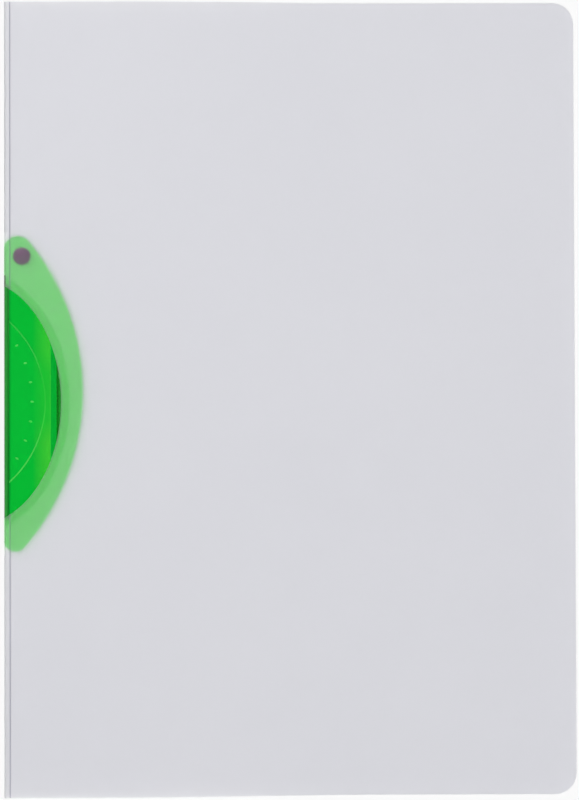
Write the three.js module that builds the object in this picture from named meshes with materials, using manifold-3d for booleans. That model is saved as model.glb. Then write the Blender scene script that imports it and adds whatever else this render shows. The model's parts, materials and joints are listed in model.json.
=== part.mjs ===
// A4 clip folder: a frosted sheet folded at the spine, with a crescent clip that swings out on a rivet.
// Millimetres. The folder lies on its back cover: +Z up, +X from the spine to the free edge, +Y up the page.
// Lengths along X are measured from the spine's outer face, and those along Y from the middle of the page.
import * as THREE from "three";
import { mergeVertices } from "three/addons/utils/BufferGeometryUtils.js";
import Module from "manifold-3d";

const wasm = await Module();
wasm.setup();

// Sheet
const FOLDER_WIDTH = 223;
const FOLDER_HEIGHT = 310;
const SHEET = 0.45;
const CORNER_RADIUS = 8.5;
const FOLD_RADIUS = 0.9;
const CREASE_FROM_SPINE = 2.3;
const CREASE_GAP = 0.3;
const COVER_LEVEL_WIDTH = 45;
const COVER_SLOPE_WIDTH = 105;
const COVER_REST_GAP = 0.5;

// Window at the spine: part of an ellipse whose centre lies outside the folder
const WINDOW_DEPTH = 22.2;
const WINDOW_HALF_WIDTH = 33.6;
const WINDOW_HALF_HEIGHT = 48;
const WINDOW_MIDDLE_Y = -1.2;
const NOTCH_LENGTH = 4.2;
const NOTCH_DEPTH = 0.45;

// Clip
const CLIP_DEPTH = 30.6;
const CLIP_PROUD = 0.3;
const CLIP_ARC_RADIUS = 92.4;
const CLIP_ARC_MIDDLE_Y = 2.9;
const CLIP_TOP_RADIUS = 5.5;
const CLIP_TIP_RADIUS = 4.45;
const CLIP_EDGE_BEVEL = 0.3;
const REAR_JAW = 1;
const FRONT_JAW = 1;
const MOUTH_HEIGHT = 1.35;
const MOUTH_LEAD_IN = 0.8;
const MOUTH_LEAD_IN_RISE = 0.4;
const WEB = 1.6;
const SWING_LIMIT_DEG = 100;

// Raised panel of the clip, which fills the window
const PANEL_RISE = 1;
const PANEL_WALL = 1.2;
const PANEL_MARGIN = 0.6;
const PANEL_FLANK = 2.9;
const PANEL_ROUNDING = 0.25;
const THUMB_DEPTH = 16.2;
const THUMB_RADIUS = 42.1;
const THUMB_RECESS = 0.3;
const THUMB_BEVEL = 0.5;
const TROUGH_START = 12.3;
const TROUGH_SLOPE_WIDTH = 5.6;
const TROUGH_LAND_WIDTH = 2.7;
const TROUGH_STEP_WIDTH = 0.25;
const TROUGH_FALL = 0.5;
const PIP_COUNT = 7;
const PIP_ARC_RADIUS = 43.4;
const PIP_ARC_DEPTH = 10.9;
const PIP_PITCH = 7.7;
const PIP_LENGTH = 1.5;
const PIP_WIDTH = 0.8;
const PIP_HEIGHT = 0.22;

// Rivet
const RIVET_FROM_SPINE = 6.8;
const RIVET_Y = 55.7;
const RIVET_HEAD_DIAMETER = 6.9;
const RIVET_HEAD_EDGE = 0.22;
const RIVET_SHANK_DIAMETER = 3;
const RIVET_TAIL_DIAMETER = 5.6;
const RIVET_TAIL = 0.2;
const BOSS_WALL = 1.4;

// Clearances
const RUN_GAP = 0.3;
const RIVET_HOLE_GAP = 0.15;
const SLOT_END_GAP = 0.9;

// Heights that follow from the stack of sheet, jaws and cover
const clipBottom = SHEET + RUN_GAP;
const mouthFloor = clipBottom + REAR_JAW;
const mouthRoof = mouthFloor + MOUTH_HEIGHT;
const rimTop = mouthRoof + FRONT_JAW;
const panelTop = rimTop + PANEL_RISE;
const coverUnderside = panelTop + RUN_GAP;
const coverTop = coverUnderside + SHEET;
const windowCentreX = WINDOW_DEPTH - WINDOW_HALF_WIDTH;
const clipArcCentre = new THREE.Vector2(CLIP_DEPTH - CLIP_ARC_RADIUS, CLIP_ARC_MIDDLE_Y);
const rivetCentre = new THREE.Vector2(RIVET_FROM_SPINE, RIVET_Y);

// How far cutting solids reach past what they cut, and how finely curves are divided
const OVERCUT = 5;
const LONG_ARC_STEPS = 56;
const END_ARC_STEPS = 14;
const ROUND_STEPS = 40;
const SLOPE_STEPS = 22;
const FOLD_STEPS = 8;
const PIP_STEPS_ROUND = 12;
const PIP_STEPS_HIGH = 8;
const MERGE_DISTANCE = 1e-4;

// Turns a closed geometry into a solid that can be joined and cut
function solidOf(geometry) {
  const bare = geometry.clone();
  bare.deleteAttribute("normal");
  bare.deleteAttribute("uv");
  const merged = mergeVertices(bare, MERGE_DISTANCE);
  return new wasm.Manifold(
    new wasm.Mesh({
      numProp: 3,
      vertProperties: new Float32Array(merged.attributes.position.array),
      triVerts: new Uint32Array(merged.index.array),
    }),
  );
}

// An outline in the plane of the page, given thickness from one height to another
function prism(shape, low, high) {
  const geometry = new THREE.ExtrudeGeometry(shape, {
    depth: high - low,
    bevelEnabled: false,
    curveSegments: ROUND_STEPS,
  });
  geometry.translate(0, 0, low);
  return solidOf(geometry);
}

// A section drawn in X and Z, run along Y between two places
function runAlongY(section, from, to, steps) {
  const geometry = new THREE.ExtrudeGeometry(section, {
    depth: to - from,
    bevelEnabled: false,
    curveSegments: steps,
  });
  geometry.rotateX(Math.PI / 2);
  geometry.translate(0, to, 0);
  return solidOf(geometry);
}

function block(x0, x1, y0, y1, z0, z1) {
  const geometry = new THREE.BoxGeometry(x1 - x0, y1 - y0, z1 - z0);
  geometry.translate((x0 + x1) / 2, (y0 + y1) / 2, (z0 + z1) / 2);
  return solidOf(geometry);
}

function upright(x, y, radius, z0, z1) {
  const geometry = new THREE.CylinderGeometry(radius, radius, z1 - z0, ROUND_STEPS);
  geometry.rotateX(Math.PI / 2);
  geometry.translate(x, y, (z0 + z1) / 2);
  return solidOf(geometry);
}

// A solid through a stack of outlines that all have the same number of points, lowest first
function loft(layers) {
  const count = layers[0].points.length;
  const vertices = layers.flatMap(({ z, points }) => points.flatMap((p) => [p.x, p.y, z]));
  const faces = [];
  for (let layer = 0; layer + 1 < layers.length; layer += 1) {
    for (let i = 0; i < count; i += 1) {
      const next = (i + 1) % count;
      const low = layer * count;
      const high = low + count;
      faces.push(low + i, low + next, high + next);
      faces.push(low + i, high + next, high + i);
    }
  }
  const top = (layers.length - 1) * count;
  for (const [a, b, c] of THREE.ShapeUtils.triangulateShape(layers[0].points, [])) {
    faces.push(a, c, b);
  }
  for (const [a, b, c] of THREE.ShapeUtils.triangulateShape(layers.at(-1).points, [])) {
    faces.push(top + a, top + b, top + c);
  }
  const geometry = new THREE.BufferGeometry();
  geometry.setAttribute("position", new THREE.Float32BufferAttribute(vertices, 3));
  geometry.setIndex(faces);
  return solidOf(geometry);
}

function arcPoints(centre, radius, fromAngle, toAngle, steps) {
  const clockwise = fromAngle > toAngle;
  const curve = new THREE.EllipseCurve(centre.x, centre.y, radius, radius, fromAngle, toAngle, clockwise);
  return curve.getPoints(steps);
}

// Centre of a rounded end of the clip, tangent to the back edge and to the outer arc inside it
function endCentre(radius, side) {
  const x = radius - CLIP_PROUD;
  const reach = CLIP_ARC_RADIUS - radius;
  const rise = Math.sqrt(reach ** 2 - (x - clipArcCentre.x) ** 2);
  return new THREE.Vector2(x, clipArcCentre.y + side * rise);
}

const topEnd = endCentre(CLIP_TOP_RADIUS, 1);
const tipEnd = endCentre(CLIP_TIP_RADIUS, -1);

// The clip's crescent outline, drawn in by an inset all round
function clipOutline(inset) {
  const topAngle = topEnd.clone().sub(clipArcCentre).angle();
  const tipAngle = tipEnd.clone().sub(clipArcCentre).angle() - 2 * Math.PI;
  const lastAngle = tipAngle + 2 * Math.PI;
  return [
    ...arcPoints(clipArcCentre, CLIP_ARC_RADIUS - inset, tipAngle, topAngle, LONG_ARC_STEPS),
    ...arcPoints(topEnd, CLIP_TOP_RADIUS - inset, topAngle, Math.PI, END_ARC_STEPS).slice(1),
    ...arcPoints(tipEnd, CLIP_TIP_RADIUS - inset, Math.PI, lastAngle, END_ARC_STEPS).slice(0, -1),
  ];
}

// An outline that runs beside the window's edge at a distance outside it, closed behind the clip
function windowOutline(outside) {
  const curve = new THREE.EllipseCurve(
    windowCentreX,
    WINDOW_MIDDLE_Y,
    WINDOW_HALF_WIDTH + outside,
    WINDOW_HALF_HEIGHT + outside,
    -Math.PI / 2,
    Math.PI / 2,
  );
  return curve.getPoints(LONG_ARC_STEPS);
}

function windowCutter() {
  return prism(new THREE.Shape(windowOutline(0)), coverUnderside - RUN_GAP, coverTop + OVERCUT);
}

// Both covers share one outline: square at the spine, rounded at the free edge
function pagePrism(low, high) {
  const halfHeight = FOLDER_HEIGHT / 2;
  const cornerX = FOLDER_WIDTH - CORNER_RADIUS;
  const cornerY = halfHeight - CORNER_RADIUS;
  const shape = new THREE.Shape();
  shape.moveTo(-OVERCUT, -halfHeight);
  shape.lineTo(cornerX, -halfHeight);
  shape.absarc(cornerX, -cornerY, CORNER_RADIUS, -Math.PI / 2, 0);
  shape.absarc(cornerX, cornerY, CORNER_RADIUS, 0, Math.PI / 2);
  shape.lineTo(-OVERCUT, halfHeight);
  return prism(shape, low, high);
}

// Section of the folded sheet: back panel, spine wall and front strip, with a round fold at each corner
function foldedSection() {
  const inner = FOLD_RADIUS - SHEET;
  const stripEnd = CREASE_FROM_SPINE - CREASE_GAP / 2;
  const section = new THREE.Shape();
  section.moveTo(FOLDER_WIDTH + OVERCUT, 0);
  section.lineTo(FOLDER_WIDTH + OVERCUT, SHEET);
  section.lineTo(FOLD_RADIUS, SHEET);
  section.absarc(FOLD_RADIUS, FOLD_RADIUS, inner, -Math.PI / 2, Math.PI, true);
  section.absarc(FOLD_RADIUS, coverTop - FOLD_RADIUS, inner, Math.PI, Math.PI / 2, true);
  section.lineTo(stripEnd, coverUnderside);
  section.lineTo(stripEnd, coverTop);
  section.absarc(FOLD_RADIUS, coverTop - FOLD_RADIUS, FOLD_RADIUS, Math.PI / 2, Math.PI, false);
  section.absarc(FOLD_RADIUS, FOLD_RADIUS, FOLD_RADIUS, Math.PI, 1.5 * Math.PI, false);
  return section;
}

// Section of the front cover: level over the clip, then easing down on to the back cover
function coverSection() {
  const fall = coverUnderside - SHEET - COVER_REST_GAP;
  const heightAt = (share) => coverUnderside - (fall * (1 - Math.cos(Math.PI * share))) / 2;
  const underside = [new THREE.Vector2(CREASE_FROM_SPINE + CREASE_GAP / 2, coverUnderside)];
  for (let step = 0; step <= SLOPE_STEPS; step += 1) {
    const share = step / SLOPE_STEPS;
    underside.push(new THREE.Vector2(COVER_LEVEL_WIDTH + share * COVER_SLOPE_WIDTH, heightAt(share)));
  }
  underside.push(new THREE.Vector2(FOLDER_WIDTH + OVERCUT, heightAt(1)));
  const upper = underside.map((p) => new THREE.Vector2(p.x, p.y + SHEET)).reverse();
  return new THREE.Shape([...underside, ...upper]);
}

// Opening in the spine wall, long enough for the clip to swing through it to its limit
function spineSlot() {
  const backEdge = RIVET_FROM_SPINE + CLIP_PROUD;
  const wedge = backEdge * Math.tan(THREE.MathUtils.degToRad(SWING_LIMIT_DEG / 2));
  const topReach = Math.max(wedge, rivetCentre.distanceTo(topEnd) + CLIP_TOP_RADIUS);
  const tipReach = rivetCentre.distanceTo(tipEnd) + CLIP_TIP_RADIUS;
  const top = RIVET_Y + topReach + SLOT_END_GAP;
  const bottom = RIVET_Y - tipReach - SLOT_END_GAP;
  return block(-OVERCUT, CREASE_FROM_SPINE, bottom, top, SHEET, coverUnderside);
}

// Nick in the strip's outer edge just above the window
function stripNotch() {
  const reach = Math.sqrt(1 - (windowCentreX / WINDOW_HALF_WIDTH) ** 2) * WINDOW_HALF_HEIGHT;
  const low = WINDOW_MIDDLE_Y + reach - SHEET;
  const high = WINDOW_MIDDLE_Y + reach + NOTCH_LENGTH;
  return block(-OVERCUT, NOTCH_DEPTH, low, high, coverUnderside - RUN_GAP, coverTop + OVERCUT);
}

// Hole for the rivet's shank and a flat seat for its tail, level with the underside
function rivetSeat() {
  const holeRadius = RIVET_SHANK_DIAMETER / 2 + RIVET_HOLE_GAP;
  const seatRadius = RIVET_TAIL_DIAMETER / 2 + RIVET_HOLE_GAP;
  const hole = upright(rivetCentre.x, rivetCentre.y, holeRadius, -OVERCUT, OVERCUT);
  const seat = upright(rivetCentre.x, rivetCentre.y, seatRadius, -OVERCUT, RIVET_TAIL);
  return hole.add(seat);
}

function backCover() {
  return runAlongY(foldedSection(), -FOLDER_HEIGHT / 2, FOLDER_HEIGHT / 2, FOLD_STEPS)
    .intersect(pagePrism(-OVERCUT, coverTop + OVERCUT))
    .subtract(spineSlot())
    .subtract(windowCutter())
    .subtract(stripNotch())
    .subtract(rivetSeat());
}

function frontCover() {
  return runAlongY(coverSection(), -FOLDER_HEIGHT / 2, FOLDER_HEIGHT / 2, FOLD_STEPS)
    .intersect(pagePrism(-OVERCUT, coverTop + OVERCUT))
    .subtract(windowCutter());
}

// The crescent as one thick plate with bevelled edges, before the mouth is cut into it
function crescentPlate() {
  const edge = clipOutline(0);
  const drawnIn = clipOutline(CLIP_EDGE_BEVEL);
  return loft([
    { z: clipBottom, points: drawnIn },
    { z: clipBottom + CLIP_EDGE_BEVEL, points: edge },
    { z: rimTop - CLIP_EDGE_BEVEL, points: edge },
    { z: rimTop, points: drawnIn },
  ]);
}

// The raised panel: a flat top just wider than the window, with a sloping flank down to the rim
function raisedPanel() {
  const within = prism(new THREE.Shape(clipOutline(CLIP_EDGE_BEVEL)), mouthRoof, coverTop);
  return loft([
    { z: mouthRoof, points: windowOutline(PANEL_MARGIN + PANEL_FLANK) },
    { z: rimTop, points: windowOutline(PANEL_MARGIN + PANEL_FLANK) },
    { z: panelTop - PANEL_ROUNDING, points: windowOutline(PANEL_MARGIN + PANEL_ROUNDING) },
    { z: panelTop, points: windowOutline(PANEL_MARGIN) },
  ]).intersect(within);
}

// Section that rounds the clip's spine side into a full half circle
function webRounding() {
  const radius = (panelTop - clipBottom) / 2;
  const section = new THREE.Shape();
  section.moveTo(CLIP_DEPTH + OVERCUT, clipBottom);
  section.lineTo(CLIP_DEPTH + OVERCUT, panelTop);
  section.lineTo(radius - CLIP_PROUD, panelTop);
  section.absarc(radius - CLIP_PROUD, clipBottom + radius, radius, Math.PI / 2, 1.5 * Math.PI, false);
  return runAlongY(section, tipEnd.y - CLIP_ARC_RADIUS, topEnd.y + CLIP_ARC_RADIUS, END_ARC_STEPS);
}

// Plan of the space between the jaws: open to the free edge, closed by the web at the spine and top end
function mouthPlan() {
  const wall = WEB - CLIP_PROUD;
  const right = CLIP_DEPTH + OVERCUT;
  const bottom = tipEnd.y - CLIP_TIP_RADIUS - OVERCUT;
  const top = topEnd.y + CLIP_TOP_RADIUS + OVERCUT;
  const plan = new THREE.Shape();
  plan.moveTo(right, bottom);
  plan.lineTo(right, top);
  plan.lineTo(topEnd.x, top);
  plan.lineTo(topEnd.x, topEnd.y + topEnd.x - wall);
  plan.absarc(topEnd.x, topEnd.y, topEnd.x - wall, Math.PI / 2, Math.PI, false);
  plan.lineTo(wall, bottom);
  return plan;
}

// Space between the jaws, with a pocket under the panel and a lead-in round the open edge
function mouth() {
  const within = prism(mouthPlan(), mouthFloor - OVERCUT, mouthRoof + OVERCUT);
  const gap = prism(mouthPlan(), mouthFloor, mouthRoof);
  const pocketRoof = panelTop - PANEL_WALL;
  const pocket = prism(new THREE.Shape(windowOutline(-PANEL_WALL)), mouthFloor, pocketRoof).intersect(within);
  const edge = clipOutline(0);
  const drawnIn = clipOutline(MOUTH_LEAD_IN);
  const lowest = mouthFloor - MOUTH_LEAD_IN_RISE;
  const highest = mouthRoof + MOUTH_LEAD_IN_RISE;
  const kept = loft([
    { z: lowest, points: edge },
    { z: mouthFloor, points: drawnIn },
    { z: mouthRoof, points: drawnIn },
    { z: highest, points: edge },
  ]);
  const leadIn = prism(mouthPlan(), lowest, highest).subtract(kept);
  return gap.add(pocket).add(leadIn);
}

// Shallow recess for the thumb: part of a circle with a bevelled edge, ending at the rounded web
function thumbRecess() {
  const centre = new THREE.Vector2(THUMB_DEPTH - THUMB_RADIUS, WINDOW_MIDDLE_Y);
  const outline = (radius) => arcPoints(centre, radius, -Math.PI / 2, Math.PI / 2, LONG_ARC_STEPS);
  const floor = panelTop - THUMB_RECESS;
  const webWidth = (panelTop - clipBottom) / 2 - CLIP_PROUD;
  const beyond = THUMB_BEVEL + OVERCUT * (THUMB_BEVEL / THUMB_RECESS);
  const top = panelTop + OVERCUT;
  const pastWeb = block(webWidth, CLIP_DEPTH, -FOLDER_HEIGHT, FOLDER_HEIGHT, floor - OVERCUT, top);
  return loft([
    { z: floor, points: outline(THUMB_RADIUS - THUMB_BEVEL) },
    { z: top, points: outline(THUMB_RADIUS - THUMB_BEVEL + beyond) },
  ]).intersect(pastWeb);
}

// Straight trough across the panel, whose floor is the line that nips the sheets
function nipTrough() {
  const landStart = TROUGH_START + TROUGH_SLOPE_WIDTH;
  const landEnd = landStart + TROUGH_LAND_WIDTH;
  const stepEnd = landEnd + TROUGH_STEP_WIDTH;
  const section = new THREE.Shape();
  section.moveTo(TROUGH_START, panelTop);
  section.lineTo(landStart, panelTop - TROUGH_FALL);
  section.lineTo(landEnd, panelTop - TROUGH_FALL);
  section.lineTo(stepEnd, panelTop);
  section.lineTo(stepEnd, coverTop + OVERCUT);
  section.lineTo(TROUGH_START, coverTop + OVERCUT);
  return runAlongY(section, -FOLDER_HEIGHT / 2, FOLDER_HEIGHT / 2, FOLD_STEPS);
}

// One oval grip pip on the floor of the thumb recess, lying along the radius of its arc
function gripPip(angle) {
  const geometry = new THREE.SphereGeometry(1, PIP_STEPS_ROUND, PIP_STEPS_HIGH);
  geometry.rotateX(Math.PI / 2);
  geometry.scale(PIP_LENGTH / 2, PIP_WIDTH / 2, PIP_HEIGHT);
  geometry.rotateZ(angle);
  const centreX = PIP_ARC_DEPTH - PIP_ARC_RADIUS;
  geometry.translate(
    centreX + PIP_ARC_RADIUS * Math.cos(angle),
    WINDOW_MIDDLE_Y + PIP_ARC_RADIUS * Math.sin(angle),
    panelTop - THUMB_RECESS,
  );
  return solidOf(geometry);
}

function gripPips() {
  const turn = PIP_PITCH / PIP_ARC_RADIUS;
  const angles = Array.from({ length: PIP_COUNT }, (_, i) => (i - (PIP_COUNT - 1) / 2) * turn);
  return wasm.Manifold.union(angles.map(gripPip));
}

function swingClip() {
  const bore = RIVET_SHANK_DIAMETER / 2 + RUN_GAP;
  const { x, y } = rivetCentre;
  const boss = upright(x, y, bore + BOSS_WALL, mouthFloor - RUN_GAP, mouthRoof + RUN_GAP);
  const boreCutter = upright(x, y, bore, -OVERCUT, coverTop + OVERCUT);
  return crescentPlate()
    .add(raisedPanel())
    .intersect(webRounding())
    .subtract(thumbRecess())
    .subtract(nipTrough())
    .add(gripPips())
    .subtract(mouth())
    .add(boss)
    .subtract(boreCutter);
}

// Domed head over the clip, shank through both jaws, and a flat tail level with the sheet's underside
function rivet() {
  const headUnder = rimTop + RUN_GAP;
  const domeFoot = headUnder + RIVET_HEAD_EDGE;
  const domeHeight = panelTop - domeFoot;
  const headRadius = RIVET_HEAD_DIAMETER / 2;
  const domeRadius = (headRadius ** 2 + domeHeight ** 2) / (2 * domeHeight);
  const domeAngle = Math.asin(headRadius / domeRadius);
  const profile = [
    new THREE.Vector2(0, 0),
    new THREE.Vector2(RIVET_TAIL_DIAMETER / 2, 0),
    new THREE.Vector2(RIVET_TAIL_DIAMETER / 2, RIVET_TAIL),
    new THREE.Vector2(RIVET_SHANK_DIAMETER / 2, RIVET_TAIL),
    new THREE.Vector2(RIVET_SHANK_DIAMETER / 2, headUnder),
    new THREE.Vector2(headRadius, headUnder),
  ];
  for (let step = 0; step < FOLD_STEPS; step += 1) {
    const angle = domeAngle * (1 - step / FOLD_STEPS);
    const drop = domeRadius * (1 - Math.cos(angle));
    profile.push(new THREE.Vector2(domeRadius * Math.sin(angle), panelTop - drop));
  }
  profile.push(new THREE.Vector2(0, panelTop));
  const geometry = new THREE.LatheGeometry(profile, ROUND_STEPS);
  geometry.rotateX(Math.PI / 2);
  geometry.translate(rivetCentre.x, rivetCentre.y, 0);
  return solidOf(geometry);
}

function meshOf(name, solid, material) {
  const { numProp, vertProperties, triVerts } = solid.getMesh();
  const geometry = new THREE.BufferGeometry();
  geometry.setAttribute("position", new THREE.BufferAttribute(vertProperties, numProp));
  geometry.setIndex(new THREE.BufferAttribute(triVerts, 1));
  geometry.computeVertexNormals();
  const mesh = new THREE.Mesh(geometry, material);
  mesh.name = name;
  return mesh;
}

function frostedSheet() {
  return new THREE.MeshStandardMaterial({
    color: 0xd5d5dc,
    roughness: 0.45,
    metalness: 0,
    transparent: true,
    opacity: 0.6,
  });
}

function greenPlastic() {
  return new THREE.MeshStandardMaterial({
    color: 0x00b036,
    roughness: 0.12,
    metalness: 0,
    transparent: true,
    opacity: 0.75,
  });
}

function rivetMetal() {
  return new THREE.MeshStandardMaterial({ color: 0x8f8f94, roughness: 0.3, metalness: 1 });
}

const group = new THREE.Group();
group.add(meshOf("back_cover", backCover(), frostedSheet()));
group.add(meshOf("front_cover", frontCover(), frostedSheet()));
group.add(meshOf("swing_clip", swingClip(), greenPlastic()));
group.add(meshOf("rivet", rivet(), rivetMetal()));
group.position.x = (CLIP_PROUD - FOLDER_WIDTH) / 2;

export default group;
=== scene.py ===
import json
import math

import bmesh
import bpy
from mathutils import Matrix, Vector
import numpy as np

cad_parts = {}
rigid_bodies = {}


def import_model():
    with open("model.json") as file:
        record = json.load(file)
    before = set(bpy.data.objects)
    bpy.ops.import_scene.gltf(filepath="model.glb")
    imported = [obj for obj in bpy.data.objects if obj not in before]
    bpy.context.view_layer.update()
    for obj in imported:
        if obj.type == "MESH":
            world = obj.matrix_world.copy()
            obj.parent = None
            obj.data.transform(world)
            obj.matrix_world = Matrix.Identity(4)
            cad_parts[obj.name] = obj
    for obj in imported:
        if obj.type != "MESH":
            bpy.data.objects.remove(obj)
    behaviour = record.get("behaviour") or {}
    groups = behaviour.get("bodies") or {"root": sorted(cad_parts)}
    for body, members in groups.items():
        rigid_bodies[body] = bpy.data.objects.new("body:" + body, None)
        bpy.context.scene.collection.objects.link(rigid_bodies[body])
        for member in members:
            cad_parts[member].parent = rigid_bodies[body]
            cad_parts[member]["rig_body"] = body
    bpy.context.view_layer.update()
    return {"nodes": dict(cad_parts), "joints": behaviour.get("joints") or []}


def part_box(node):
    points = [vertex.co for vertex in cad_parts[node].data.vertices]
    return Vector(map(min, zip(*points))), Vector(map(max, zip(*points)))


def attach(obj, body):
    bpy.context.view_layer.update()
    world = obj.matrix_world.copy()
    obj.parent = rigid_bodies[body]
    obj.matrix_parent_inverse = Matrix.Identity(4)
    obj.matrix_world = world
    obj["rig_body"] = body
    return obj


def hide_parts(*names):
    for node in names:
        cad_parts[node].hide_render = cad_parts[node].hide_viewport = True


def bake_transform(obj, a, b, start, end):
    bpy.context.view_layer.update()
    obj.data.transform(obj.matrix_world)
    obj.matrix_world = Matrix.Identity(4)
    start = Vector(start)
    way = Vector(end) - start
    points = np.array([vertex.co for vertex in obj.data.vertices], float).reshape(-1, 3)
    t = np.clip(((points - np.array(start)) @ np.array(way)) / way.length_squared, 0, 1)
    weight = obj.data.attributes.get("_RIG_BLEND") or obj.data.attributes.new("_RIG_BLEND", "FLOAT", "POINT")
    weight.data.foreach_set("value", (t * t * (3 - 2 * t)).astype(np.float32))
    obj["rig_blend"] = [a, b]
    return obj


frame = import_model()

MM = 0.001

# Camera, almost straight above the folder
CAMERA_PLACE = (-0.0033, -0.0118, 0.8)
CAMERA_TURN_DEG = (0.797, -0.221, -0.15)
CAMERA_LENS = 91.78

# Light
KEY_PLACE = (-0.55, 0.75, 1.5)
KEY_SIZE = 1.1
KEY_POWER = 9.0
FILL_PLACE = (0.9, -0.5, 1.3)
FILL_SIZE = 1.4
FILL_POWER = 3.6
WORLD_LIGHT = 0.46
SKY_DIM_FROM = 0.55
SKY_DIM_FULL = 0.92
SKY_OVERHEAD = 0.06
FLOOR_SIZE = 6.0
FLOOR_DROP = 0.3 * MM
FLOOR_GLOW = 0.85
FLOOR_COLOUR = (0.98, 0.98, 0.98, 1)

# Finish of the solids
MERGE = 0.002 * MM
FLAT_ANGLE = math.radians(0.6)
SHARP_ANGLE = math.radians(28)
SHEET_BEVEL = 0.07 * MM
CLIP_BEVEL = 0.12 * MM
RIVET_BEVEL = 0.05 * MM
BEVEL_SEGMENTS = 2
SHADING_WEIGHT = 80

# Frosted sheet; the scale of each noise is in cells per metre
SHEET_IOR = 1.45
SHEET_CLEARNESS = 0.97
BACK_TINTS = (0.885, 0.885, 0.902), (0.875, 0.875, 0.895)
BACK_ROUGHNESS = 0.5
COVER_TINTS = (0.846, 0.848, 0.872), (0.832, 0.834, 0.861)
COVER_ROUGHNESS = 0.6
# Painted shade of the pressed crease: its sheet is tinted darker and made less clear than the covers
CREASE_SHADE_TINTS = (0.50, 0.49, 0.57), (0.46, 0.45, 0.54)
CREASE_CLEARNESS = 0.8
ROUGHNESS_SPREAD = 0.05
CLOUD_SCALE = 14
CLOUD_DETAIL = 3
GRAIN_SCALE = 2600
GRAIN_DETAIL = 2
GRAIN_STRENGTH = 0.12
GRAIN_DEPTH = 0.03 * MM
SHEET_SHADE = (0.93, 0.93, 0.94)

# Where a new colour starts on a ramp, before it gets its place
RAMP_MIDDLE = 0.5

# Rivet
RIVET_TINTS = (0.09, 0.004, 0.07), (0.15, 0.02, 0.12)
RIVET_ROUGHNESS = 0.22, 0.42
WEAR_SCALE = 900
WEAR_DETAIL = 4
WEAR_STRENGTH = 0.15
WEAR_DEPTH = 0.02 * MM

# Clear green plastic of the clip
CLIP_IOR = 1.46
CLIP_SPECULAR = 0.25
CLIP_ROUGHNESS = 0.03, 0.07
CLIP_SHADE = (0.95, 0.99, 0.95)
ABSORBED_GREEN = (0.0, 0.948, 0.1, 1)
ABSORBED_DENSITY = 500
FLOW_SCALE = 55
FLOW_DETAIL = 2
FLOW_STRETCH = (1, 0.3, 1)
RIPPLE_SCALE = 160
RIPPLE_DETAIL = 1
RIPPLE_STRENGTH = 0.05
RIPPLE_DEPTH = 0.05 * MM

# Zones of colour on the clip, with places in its own coordinates
RIM_GREENS = (0.50, 1.0, 0.48), (0.58, 1.0, 0.56)
RIM_CLEARNESS = 0.93
PANEL_RISE = 1.0 * MM
PANEL_FOOT = 0.02 * MM
PANEL_SHOULDER = 0.12 * MM
PANEL_GREEN = (0.0006, 0.56, 0.06)
PANEL_CLEARNESS = 0.5

# Web on the spine side, and a painted shade on its end in the strip's nick
WEB_WIDTH = 2.1 * MM
WEB_BLUR = 0.25 * MM
WEB_TOP = 44.5 * MM
WEB_BOTTOM = -47.0 * MM
WEB_GREENS = (0.0004, 0.33, 0.030), (0.0006, 0.38, 0.038)
WEB_ROUGHER = 0.12
NICK_DEPTH = 0.8 * MM
NICK_TOP = 48.45 * MM
NICK_BOTTOM = 43.65 * MM
# Painted shade in the strip's nick
NICK_SHADE_GREEN = (0.0002, 0.012, 0.001)

# Trough across the panel, measured from the clip's spine edge, and where the painted reflection on its slope
# is palest
TROUGH_SLOPE = 11.5 * MM
TROUGH_LAND = 18.2 * MM
TROUGH_STEP = 20.8 * MM
STEP_WIDTH = 0.6 * MM
TROUGH_LINE = 0.3 * MM
SLOPE_MIDDLE = 1 * MM
SLOPE_CALM = 9 * MM
SLOPE_UPPER_SHARE = 0.7
# Painted reflection on the trough's slope, in the middle and paler towards the window's ends
SLOPE_MIDDLE_REFLECTION_GREEN = (0.022, 0.62, 0.055)
SLOPE_END_REFLECTION_GREEN = (0.085, 0.68, 0.055)
# Painted highlight along the land's edge
LAND_EDGE_HIGHLIGHT_GREEN = (0.05, 0.68, 0.07)
# Painted shade on the land, and painted shadow in the step and in the sliver past it
LAND_SHADE_GREEN = (0.0004, 0.44, 0.05)
STEP_SHADOW_GREEN = (0.004, 0.13, 0.01)
BEYOND_SHADOW_GREEN = (0.02, 0.24, 0.04)

# Thumb recess and the pips in it, with a painted highlight on the recess wall, strongest on its lower half,
# and on the pips
THUMB_CENTRE = Vector((-137.25, -1.2, 0)) * MM
THUMB_INNER = 41.6 * MM
THUMB_OUTER = 42.1 * MM
THUMB_BLUR = 0.15 * MM
THUMB_FADE_TOP = 6 * MM
THUMB_FADE_END = -24 * MM
# Strength of the painted highlight on the upper and on the lower half of the recess wall
THUMB_HIGHLIGHT_FAINT = 0.12
THUMB_HIGHLIGHT_FULL = 0.85
RECESS_WALL_HIGHLIGHT_GREEN = (0.11, 0.80, 0.13)
PIP_FOOT = 0.26 * MM
PIP_FADE = 0.065 * MM
# Painted highlight on the pips
PIP_HIGHLIGHT_GREEN = (0.10, 0.76, 0.14)

# Margin of the panel, outside an ellipse that follows the window
WINDOW_CENTRE = Vector((-122.75, -1.2, 0)) * MM
WINDOW_HALF_WIDTH = 33.6 * MM
WINDOW_HALF_HEIGHT = 48 * MM
MARGIN_START = 1.004
MARGIN_FULL = 1.014
MARGIN_GREEN = (0.03, 0.80, 0.045)

# Pressed crease between the front strip and the front cover
CREASE_SHEET = 0.16 * MM
CREASE_LAP = 0.06 * MM
CREASE_STEPS = 8
CREASE_ROWS = 40


def joint(name):
    return next(j for j in frame["joints"] if j["name"] == name)


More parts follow.
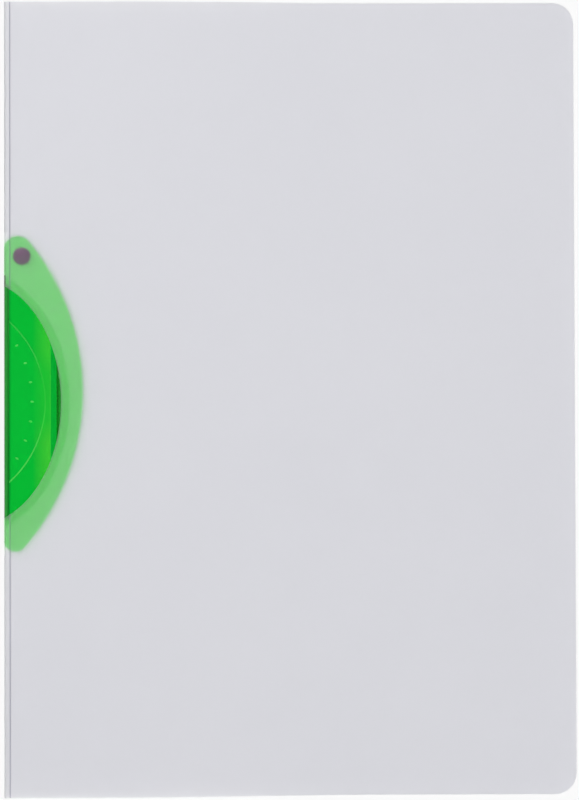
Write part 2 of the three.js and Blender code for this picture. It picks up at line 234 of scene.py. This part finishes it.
def light_rays(nodes, links, kinds):
    """A socket that is 1 for the kinds of ray that are named, and 0 for the others."""
    path = nodes.new("ShaderNodeLightPath")
    total = path.outputs[kinds[0]]
    for kind in kinds[1:]:
        total = combined(nodes, links, "MAXIMUM", total, path.outputs[kind])
    return total


def fresh_material(name):
    material = bpy.data.materials.new(name)
    material.use_nodes = True
    nodes, links = material.node_tree.nodes, material.node_tree.links
    nodes.clear()
    return material, nodes, links


def noise(nodes, links, scale, detail, stretch=(1, 1, 1)):
    """Noise in the object's own coordinates, in cells per metre."""
    place = nodes.new("ShaderNodeTexCoord")
    mapping = nodes.new("ShaderNodeMapping")
    mapping.inputs["Scale"].default_value = stretch
    texture = nodes.new("ShaderNodeTexNoise")
    texture.inputs["Scale"].default_value = scale
    texture.inputs["Detail"].default_value = detail
    links.new(place.outputs["Object"], mapping.inputs["Vector"])
    links.new(mapping.outputs["Vector"], texture.inputs["Vector"])
    return texture.outputs["Fac"]


def own_axis(nodes, links, axis):
    """One of the piece's own coordinates."""
    place = nodes.new("ShaderNodeTexCoord")
    parts = nodes.new("ShaderNodeSeparateXYZ")
    links.new(place.outputs["Object"], parts.inputs["Vector"])
    return parts.outputs[axis]


def ramped(nodes, links, value, start, end, low=0.0, high=1.0):
    """Brings a value from one range into another, and holds it at the ends."""
    ranged = nodes.new("ShaderNodeMapRange")
    ranged.inputs["From Min"].default_value = start
    ranged.inputs["From Max"].default_value = end
    ranged.inputs["To Min"].default_value = low
    ranged.inputs["To Max"].default_value = high
    links.new(value, ranged.inputs["Value"])
    return ranged.outputs["Result"]


def combined(nodes, links, operation, first, second):
    """One value from two, by a named operation such as ADD or MULTIPLY."""
    result = nodes.new("ShaderNodeMath")
    result.operation = operation
    links.new(first, result.inputs[0])
    links.new(second, result.inputs[1])
    return result.outputs[0]


def vector_step(nodes, links, operation, vector, operand):
    step = nodes.new("ShaderNodeVectorMath")
    step.operation = operation
    step.inputs[1].default_value = operand
    links.new(vector, step.inputs[0])
    return step


def plain_colour(nodes, colour):
    fixed = nodes.new("ShaderNodeRGB")
    fixed.outputs[0].default_value = (*colour, 1)
    return fixed.outputs[0]


def two_colours(nodes, links, value, first, second):
    mix = nodes.new("ShaderNodeMix")
    mix.data_type = "RGBA"
    mix.inputs["A"].default_value = (*first, 1)
    mix.inputs["B"].default_value = (*second, 1)
    links.new(value, mix.inputs["Factor"])
    return mix.outputs["Result"]


def colour_steps(nodes, links, value, steps):
    """A ramp through colours at places from 0 to 1."""
    ramp = nodes.new("ShaderNodeValToRGB")
    band = ramp.color_ramp
    while len(band.elements) < len(steps):
        band.elements.new(RAMP_MIDDLE)
    for element, (place, colour) in zip(band.elements, steps):
        element.position = place
        element.color = (*colour, 1)
    links.new(value, ramp.inputs["Fac"])
    return ramp.outputs["Color"]


def blended(nodes, links, factor, first, second):
    mix = nodes.new("ShaderNodeMix")
    mix.data_type = "RGBA"
    links.new(first, mix.inputs["A"])
    links.new(second, mix.inputs["B"])
    links.new(factor, mix.inputs["Factor"])
    return mix.outputs["Result"]


def bumped(nodes, links, shader, height, strength, distance):
    bump = nodes.new("ShaderNodeBump")
    bump.inputs["Strength"].default_value = strength
    bump.inputs["Distance"].default_value = distance
    links.new(height, bump.inputs["Height"])
    links.new(bump.outputs["Normal"], shader.inputs["Normal"])


def lamps_pass(nodes, links, shader, tint):
    """Lets lamps through a clear material with a tint, so that what lies behind it is lit."""
    clear = nodes.new("ShaderNodeBsdfTransparent")
    clear.inputs["Color"].default_value = (*tint, 1)
    mix = nodes.new("ShaderNodeMixShader")
    output = nodes.new("ShaderNodeOutputMaterial")
    links.new(light_rays(nodes, links, ["Is Shadow Ray"]), mix.inputs["Fac"])
    links.new(shader.outputs["BSDF"], mix.inputs[1])
    links.new(clear.outputs["BSDF"], mix.inputs[2])
    links.new(mix.outputs["Shader"], output.inputs["Surface"])
    return output


def frosted_sheet(name, tints, roughness, clearness):
    """Frosted film: it passes light, blurs what lies behind it and has a fine pressed grain."""
    material, nodes, links = fresh_material(name)
    shader = nodes.new("ShaderNodeBsdfPrincipled")
    shader.inputs["IOR"].default_value = SHEET_IOR
    shader.inputs["Transmission Weight"].default_value = clearness
    clouds = noise(nodes, links, CLOUD_SCALE, CLOUD_DETAIL)
    grain = noise(nodes, links, GRAIN_SCALE, GRAIN_DETAIL)
    links.new(two_colours(nodes, links, clouds, *tints), shader.inputs["Base Color"])
    smoothest, roughest = roughness - ROUGHNESS_SPREAD, roughness + ROUGHNESS_SPREAD
    links.new(ramped(nodes, links, grain, 0, 1, smoothest, roughest), shader.inputs["Roughness"])
    bumped(nodes, links, shader, grain, GRAIN_STRENGTH, GRAIN_DEPTH)
    lamps_pass(nodes, links, shader, SHEET_SHADE)
    return material


def panel_colour(nodes, links, edge, width):
    """Colour across the raised panel from the spine, down its slope to the land and past the step: a painted
    reflection on the slope, a painted highlight on the land's edge, painted shade on the land and a painted
    shadow in the step and past it.
    """
    across = ramped(nodes, links, own_axis(nodes, links, "X"), edge, edge + width)
    # Painted highlight on the land's edge, painted shade on the land, and painted shadow in the step and
    # past it
    beyond = [
        (TROUGH_LAND, LAND_EDGE_HIGHLIGHT_GREEN),
        (TROUGH_LAND + TROUGH_LINE, LAND_SHADE_GREEN),
        (TROUGH_STEP - TROUGH_LINE, LAND_SHADE_GREEN),
        (TROUGH_STEP, STEP_SHADOW_GREEN),
        (TROUGH_STEP + STEP_WIDTH, STEP_SHADOW_GREEN),
        (TROUGH_STEP + STEP_WIDTH + TROUGH_LINE, BEYOND_SHADOW_GREEN),
    ]
    bands = []
    # Painted reflection on the slope, paler towards the window's ends
    for foot_reflection_green in (SLOPE_MIDDLE_REFLECTION_GREEN, SLOPE_END_REFLECTION_GREEN):
        steps = [(TROUGH_SLOPE, PANEL_GREEN), (TROUGH_LAND - TROUGH_LINE, foot_reflection_green), *beyond]
        shares = [(place / width, colour) for place, colour in steps]
        bands.append(colour_steps(nodes, links, across, shares))
    height = own_axis(nodes, links, "Y")
    top, bottom = SLOPE_MIDDLE + SLOPE_CALM, SLOPE_MIDDLE - SLOPE_CALM
    above = ramped(nodes, links, height, top, top + SLOPE_CALM, 0.0, SLOPE_UPPER_SHARE)
    below = ramped(nodes, links, height, bottom, bottom - SLOPE_CALM)
    return blended(nodes, links, combined(nodes, links, "ADD", above, below), *bands)


def web_zone(nodes, links, edge, width, low, high):
    """1 near the clip's spine edge and between two heights, with a soft border, and 0 elsewhere."""
    x, y = own_axis(nodes, links, "X"), own_axis(nodes, links, "Y")
    beside = ramped(nodes, links, x, edge + width, edge + width + WEB_BLUR, 1.0, 0.0)
    under_top = ramped(nodes, links, y, high - WEB_BLUR, high, 1.0, 0.0)
    over_bottom = ramped(nodes, links, y, low, low + WEB_BLUR)
    between = combined(nodes, links, "MULTIPLY", under_top, over_bottom)
    return combined(nodes, links, "MULTIPLY", between, beside)


def plan_distance(nodes, links, centre, radii=(1, 1, 1)):
    """Distance in plan from an upright axis, each way as a share of a radius."""
    place = nodes.new("ShaderNodeCombineXYZ")
    for axis in "XY":
        links.new(own_axis(nodes, links, axis), place.inputs[axis])
    scaled = vector_step(nodes, links, "DIVIDE", place.outputs["Vector"], radii)
    scaled_centre = [part / radius for part, radius in zip(centre, radii)]
    return vector_step(nodes, links, "DISTANCE", scaled.outputs["Vector"], scaled_centre).outputs["Value"]


def margin_of_panel(nodes, links, panel):
    """Lighter green on the panel's margin, outside an ellipse in plan."""
    radii = (WINDOW_HALF_WIDTH, WINDOW_HALF_HEIGHT, 1)
    share = plan_distance(nodes, links, WINDOW_CENTRE, radii)
    outside = ramped(nodes, links, share, MARGIN_START, MARGIN_FULL)
    return blended(nodes, links, outside, panel, plain_colour(nodes, MARGIN_GREEN))


def thumb_highlights(nodes, links, panel, top):
    """Painted highlight: lighter green on the wall of the thumb recess, most on its lower half, and on the
    pips in it.
    """
    away = plan_distance(nodes, links, THUMB_CENTRE)
    inside = ramped(nodes, links, away, THUMB_OUTER - THUMB_BLUR, THUMB_OUTER + THUMB_BLUR, 1.0, 0.0)
    past = ramped(nodes, links, away, THUMB_INNER - THUMB_BLUR, THUMB_INNER + THUMB_BLUR)
    height = own_axis(nodes, links, "Y")
    lower = ramped(nodes, links, height, THUMB_FADE_TOP, THUMB_FADE_END, THUMB_HIGHLIGHT_FAINT, THUMB_HIGHLIGHT_FULL)
    ring = combined(nodes, links, "MULTIPLY", inside, past)
    wall = combined(nodes, links, "MULTIPLY", ring, lower)
    floor_end = THUMB_INNER - THUMB_BLUR
    on_floor = ramped(nodes, links, away, floor_end - THUMB_BLUR, floor_end, 1.0, 0.0)
    foot = top - PIP_FOOT
    raised = ramped(nodes, links, own_axis(nodes, links, "Z"), foot, foot + PIP_FADE)
    pips = combined(nodes, links, "MULTIPLY", on_floor, raised)
    # Painted highlight on the recess wall
    wall_highlighted = blended(nodes, links, wall, panel, plain_colour(nodes, RECESS_WALL_HIGHLIGHT_GREEN))
    # Painted highlight on the pips
    return blended(nodes, links, pips, wall_highlighted, plain_colour(nodes, PIP_HIGHLIGHT_GREEN))


def clip_colour(nodes, links, flow, raised, in_web):
    """Colour of the rim, the raised panel with its details, the web, and a painted shade on the web's end in
    the strip's nick.
    """
    low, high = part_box("swing_clip")
    panel = panel_colour(nodes, links, low.x, high.x - low.x)
    panel = thumb_highlights(nodes, links, panel, high.z)
    panel = margin_of_panel(nodes, links, panel)
    rim = two_colours(nodes, links, flow, *RIM_GREENS)
    web = two_colours(nodes, links, flow, *WEB_GREENS)
    plain = blended(nodes, links, in_web, blended(nodes, links, raised, rim, panel), web)
    # Painted shade where the web lies in the strip's nick
    nick_shade = web_zone(nodes, links, low.x, NICK_DEPTH, NICK_BOTTOM, NICK_TOP)
    return blended(nodes, links, nick_shade, plain, plain_colour(nodes, NICK_SHADE_GREEN))


def green_plastic():
    """Clear tinted plastic, a deeper green over the raised panel and in the web."""
    low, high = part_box("swing_clip")
    rim_top = high.z - PANEL_RISE
    material, nodes, links = fresh_material("green_plastic")
    shader = nodes.new("ShaderNodeBsdfPrincipled")
    shader.inputs["IOR"].default_value = CLIP_IOR
    shader.inputs["Specular IOR Level"].default_value = CLIP_SPECULAR
    flow = noise(nodes, links, FLOW_SCALE, FLOW_DETAIL, FLOW_STRETCH)
    height = own_axis(nodes, links, "Z")
    raised = ramped(nodes, links, height, rim_top + PANEL_FOOT, rim_top + PANEL_SHOULDER)
    in_web = web_zone(nodes, links, low.x, WEB_WIDTH, WEB_BOTTOM, WEB_TOP)
    clearness = ramped(nodes, links, raised, 0, 1, RIM_CLEARNESS, PANEL_CLEARNESS)
    polish = ramped(nodes, links, flow, 0, 1, *CLIP_ROUGHNESS)
    rougher = ramped(nodes, links, in_web, 0, 1, 0, WEB_ROUGHER)
    links.new(clip_colour(nodes, links, flow, raised, in_web), shader.inputs["Base Color"])
    links.new(clearness, shader.inputs["Transmission Weight"])
    links.new(combined(nodes, links, "ADD", polish, rougher), shader.inputs["Roughness"])
    ripple = noise(nodes, links, RIPPLE_SCALE, RIPPLE_DETAIL)
    bumped(nodes, links, shader, ripple, RIPPLE_STRENGTH, RIPPLE_DEPTH)
    output = lamps_pass(nodes, links, shader, CLIP_SHADE)
    depth = nodes.new("ShaderNodeVolumeAbsorption")
    depth.inputs["Color"].default_value = ABSORBED_GREEN
    depth.inputs["Density"].default_value = ABSORBED_DENSITY
    links.new(depth.outputs["Volume"], output.inputs["Volume"])
    return material


def rivet_metal():
    material, nodes, links = fresh_material("rivet_metal")
    shader = nodes.new("ShaderNodeBsdfPrincipled")
    output = nodes.new("ShaderNodeOutputMaterial")
    shader.inputs["Metallic"].default_value = 1.0
    wear = noise(nodes, links, WEAR_SCALE, WEAR_DETAIL)
    links.new(two_colours(nodes, links, wear, *RIVET_TINTS), shader.inputs["Base Color"])
    links.new(ramped(nodes, links, wear, 0, 1, *RIVET_ROUGHNESS), shader.inputs["Roughness"])
    bumped(nodes, links, shader, wear, WEAR_STRENGTH, WEAR_DEPTH)
    links.new(shader.outputs["BSDF"], output.inputs["Surface"])
    return material


def floor_material():
    """A plain pale floor that the camera sees as white and that keeps the folder's shadow."""
    material, nodes, links = fresh_material("floor_paper")
    paper = nodes.new("ShaderNodeBsdfDiffuse")
    paper.inputs["Color"].default_value = FLOOR_COLOUR
    glow = nodes.new("ShaderNodeEmission")
    mix = nodes.new("ShaderNodeMixShader")
    output = nodes.new("ShaderNodeOutputMaterial")
    seen = light_rays(nodes, links, ["Is Camera Ray", "Is Glossy Ray"])
    links.new(ramped(nodes, links, seen, 0, 1, 0, FLOOR_GLOW), mix.inputs["Fac"])
    links.new(paper.outputs["BSDF"], mix.inputs[1])
    links.new(glow.outputs["Emission"], mix.inputs[2])
    links.new(mix.outputs["Shader"], output.inputs["Surface"])
    return material


def refined(node, name, bevel, material):
    """The CAD node's own form with smooth curves and fine rounded edges, standing for that node."""
    mesh = frame["nodes"][node].data.copy()
    mesh.name = name
    work = bmesh.new()
    work.from_mesh(mesh)
    bmesh.ops.remove_doubles(work, verts=work.verts, dist=MERGE)
    bmesh.ops.dissolve_limit(work, angle_limit=FLAT_ANGLE, verts=work.verts, edges=work.edges)
    work.to_mesh(mesh)
    work.free()
    for attribute in [a.name for a in mesh.attributes if a.name == "custom_normal"]:
        mesh.attributes.remove(mesh.attributes[attribute])
    mesh.polygons.foreach_set("use_smooth", [True] * len(mesh.polygons))
    mesh.set_sharp_from_angle(angle=SHARP_ANGLE)
    piece = bpy.data.objects.new(name, mesh)
    bpy.context.scene.collection.objects.link(piece)
    rounding = piece.modifiers.new("edge_rounding", "BEVEL")
    rounding.width = bevel
    rounding.segments = BEVEL_SEGMENTS
    rounding.limit_method = "ANGLE"
    rounding.angle_limit = SHARP_ANGLE
    rounding.use_clamp_overlap = True
    level = piece.modifiers.new("even_shading", "WEIGHTED_NORMAL")
    level.weight = SHADING_WEIGHT
    depsgraph = bpy.context.evaluated_depsgraph_get()
    rounded = bpy.data.meshes.new_from_object(piece.evaluated_get(depsgraph))
    piece.modifiers.clear()
    piece.data = rounded
    rounded.name = name
    rounded.materials.clear()
    rounded.materials.append(material)
    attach(piece, frame["nodes"][node]["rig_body"])
    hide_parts(node)


def window_ends():
    """Where the window's edge crosses the crease, as its lowest and highest place up the page."""
    cover = frame["nodes"]["front_cover"].data
    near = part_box("front_cover")[0].x + CREASE_LAP
    edge = [v.co.y for v in cover.vertices if v.co.x < near]
    below = max(y for y in edge if y < 0)
    above = min(y for y in edge if y > 0)
    return below, above


def crease_strip(work, y_from, y_to, x_from, x_to, z_low, z_high):
    """A thin closed strip of sheet that bridges the crease."""
    rows = []
    for row in range(CREASE_ROWS + 1):
        y = y_from + (y_to - y_from) * row / CREASE_ROWS
        ring = []
        for step in range(CREASE_STEPS + 1):
            x = x_from + (x_to - x_from) * step / CREASE_STEPS
            ring.append(work.verts.new((x, y, z_high)))
        for step in range(CREASE_STEPS, -1, -1):
            x = x_from + (x_to - x_from) * step / CREASE_STEPS
            ring.append(work.verts.new((x, y, z_low)))
        rows.append(ring)
    count = len(rows[0])
    for low, high in zip(rows, rows[1:]):
        for i in range(count):
            after = (i + 1) % count
            work.faces.new((low[i], low[after], high[after], high[i]))
    work.faces.new(list(reversed(rows[0])))
    work.faces.new(rows[-1])


def crease_line(material):
    """The pressed line that joins strip and cover past the window's ends, and bends as it opens."""
    crease_x = joint("cover_open")["pos_m"][0]
    cover_low, cover_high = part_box("front_cover")
    half_gap = cover_low.x - crease_x
    x_from = crease_x - half_gap - CREASE_LAP
    x_to = crease_x + half_gap + CREASE_LAP
    z_high = cover_high.z - SHEET_BEVEL
    z_low = z_high - CREASE_SHEET
    below, above = window_ends()
    mesh = bpy.data.meshes.new("crease_line")
    work = bmesh.new()
    crease_strip(work, cover_low.y, below, x_from, x_to, z_low, z_high)
    crease_strip(work, above, cover_high.y, x_from, x_to, z_low, z_high)
    bmesh.ops.recalc_face_normals(work, faces=work.faces)
    work.to_mesh(mesh)
    work.free()
    mesh.materials.append(material)
    piece = bpy.data.objects.new("crease_line", mesh)
    bpy.context.scene.collection.objects.link(piece)
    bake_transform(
        piece,
        "folder",
        "cover",
        start=(crease_x - half_gap, 0, z_high),
        end=(crease_x + half_gap, 0, z_high),
    )


def make_camera():
    data = bpy.data.cameras.new("camera")
    data.lens = CAMERA_LENS
    camera = bpy.data.objects.new("camera", data)
    camera.location = CAMERA_PLACE
    camera.rotation_euler = [math.radians(turn) for turn in CAMERA_TURN_DEG]
    bpy.context.scene.collection.objects.link(camera)
    bpy.context.scene.camera = camera


def soft_lamp(name, place, size, power):
    data = bpy.data.lights.new(name, "AREA")
    data.size = size
    data.energy = power
    lamp = bpy.data.objects.new(name, data)
    lamp.location = place
    lamp.rotation_euler = (-Vector(place)).to_track_quat("-Z", "Y").to_euler()
    bpy.context.scene.collection.objects.link(lamp)


def sky_for_gloss(nodes, links):
    """How bright gloss sees the surround: 1 near the horizon, dim straight overhead."""
    place = nodes.new("ShaderNodeTexCoord")
    parts = nodes.new("ShaderNodeSeparateXYZ")
    links.new(place.outputs["Generated"], parts.inputs["Vector"])
    return ramped(nodes, links, parts.outputs["Z"], SKY_DIM_FROM, SKY_DIM_FULL, 1.0, SKY_OVERHEAD)


def make_world():
    """An even pale surround, with a dim patch overhead so that level gloss keeps its depth of colour."""
    world = bpy.data.worlds.new("studio")
    world.use_nodes = True
    nodes, links = world.node_tree.nodes, world.node_tree.links
    nodes.clear()
    around = nodes.new("ShaderNodeBackground")
    seen = nodes.new("ShaderNodeBackground")
    mirrored = nodes.new("ShaderNodeBackground")
    for shader in (around, seen, mirrored):
        shader.inputs["Color"].default_value = (1, 1, 1, 1)
    around.inputs["Strength"].default_value = WORLD_LIGHT
    links.new(sky_for_gloss(nodes, links), mirrored.inputs["Strength"])
    first = nodes.new("ShaderNodeMixShader")
    second = nodes.new("ShaderNodeMixShader")
    output = nodes.new("ShaderNodeOutputWorld")
    links.new(light_rays(nodes, links, ["Is Camera Ray", "Is Transmission Ray"]), first.inputs["Fac"])
    links.new(around.outputs["Background"], first.inputs[1])
    links.new(seen.outputs["Background"], first.inputs[2])
    links.new(light_rays(nodes, links, ["Is Glossy Ray"]), second.inputs["Fac"])
    links.new(first.outputs["Shader"], second.inputs[1])
    links.new(mirrored.outputs["Background"], second.inputs[2])
    links.new(second.outputs["Shader"], output.inputs["Surface"])
    bpy.context.scene.world = world


def make_floor():
    half = FLOOR_SIZE / 2
    corners = [(-half, -half), (half, -half), (half, half), (-half, half)]
    mesh = bpy.data.meshes.new("floor")
    mesh.from_pydata([(x, y, -FLOOR_DROP) for x, y in corners], [], [(0, 1, 2, 3)])
    mesh.materials.append(floor_material())
    floor = bpy.data.objects.new("floor", mesh)
    bpy.context.scene.collection.objects.link(floor)


def make_folder():
    back_sheet = frosted_sheet("back_sheet", BACK_TINTS, BACK_ROUGHNESS, SHEET_CLEARNESS)
    front_sheet = frosted_sheet("front_sheet", COVER_TINTS, COVER_ROUGHNESS, SHEET_CLEARNESS)
    # The crease's sheet is tinted darker as painted shade
    crease_sheet = frosted_sheet("crease_sheet", CREASE_SHADE_TINTS, COVER_ROUGHNESS, CREASE_CLEARNESS)
    refined("back_cover", "back_sheet_folded", SHEET_BEVEL, back_sheet)
    refined("front_cover", "front_sheet_panel", SHEET_BEVEL, front_sheet)
    crease_line(crease_sheet)
    refined("swing_clip", "clip_moulding", CLIP_BEVEL, green_plastic())
    refined("rivet", "rivet_body", RIVET_BEVEL, rivet_metal())


bpy.context.scene.view_settings.view_transform = "Standard"
make_camera()
make_world()
soft_lamp("key_light", KEY_PLACE, KEY_SIZE, KEY_POWER)
soft_lamp("fill_light", FILL_PLACE, FILL_SIZE, FILL_POWER)
make_floor()
make_folder()
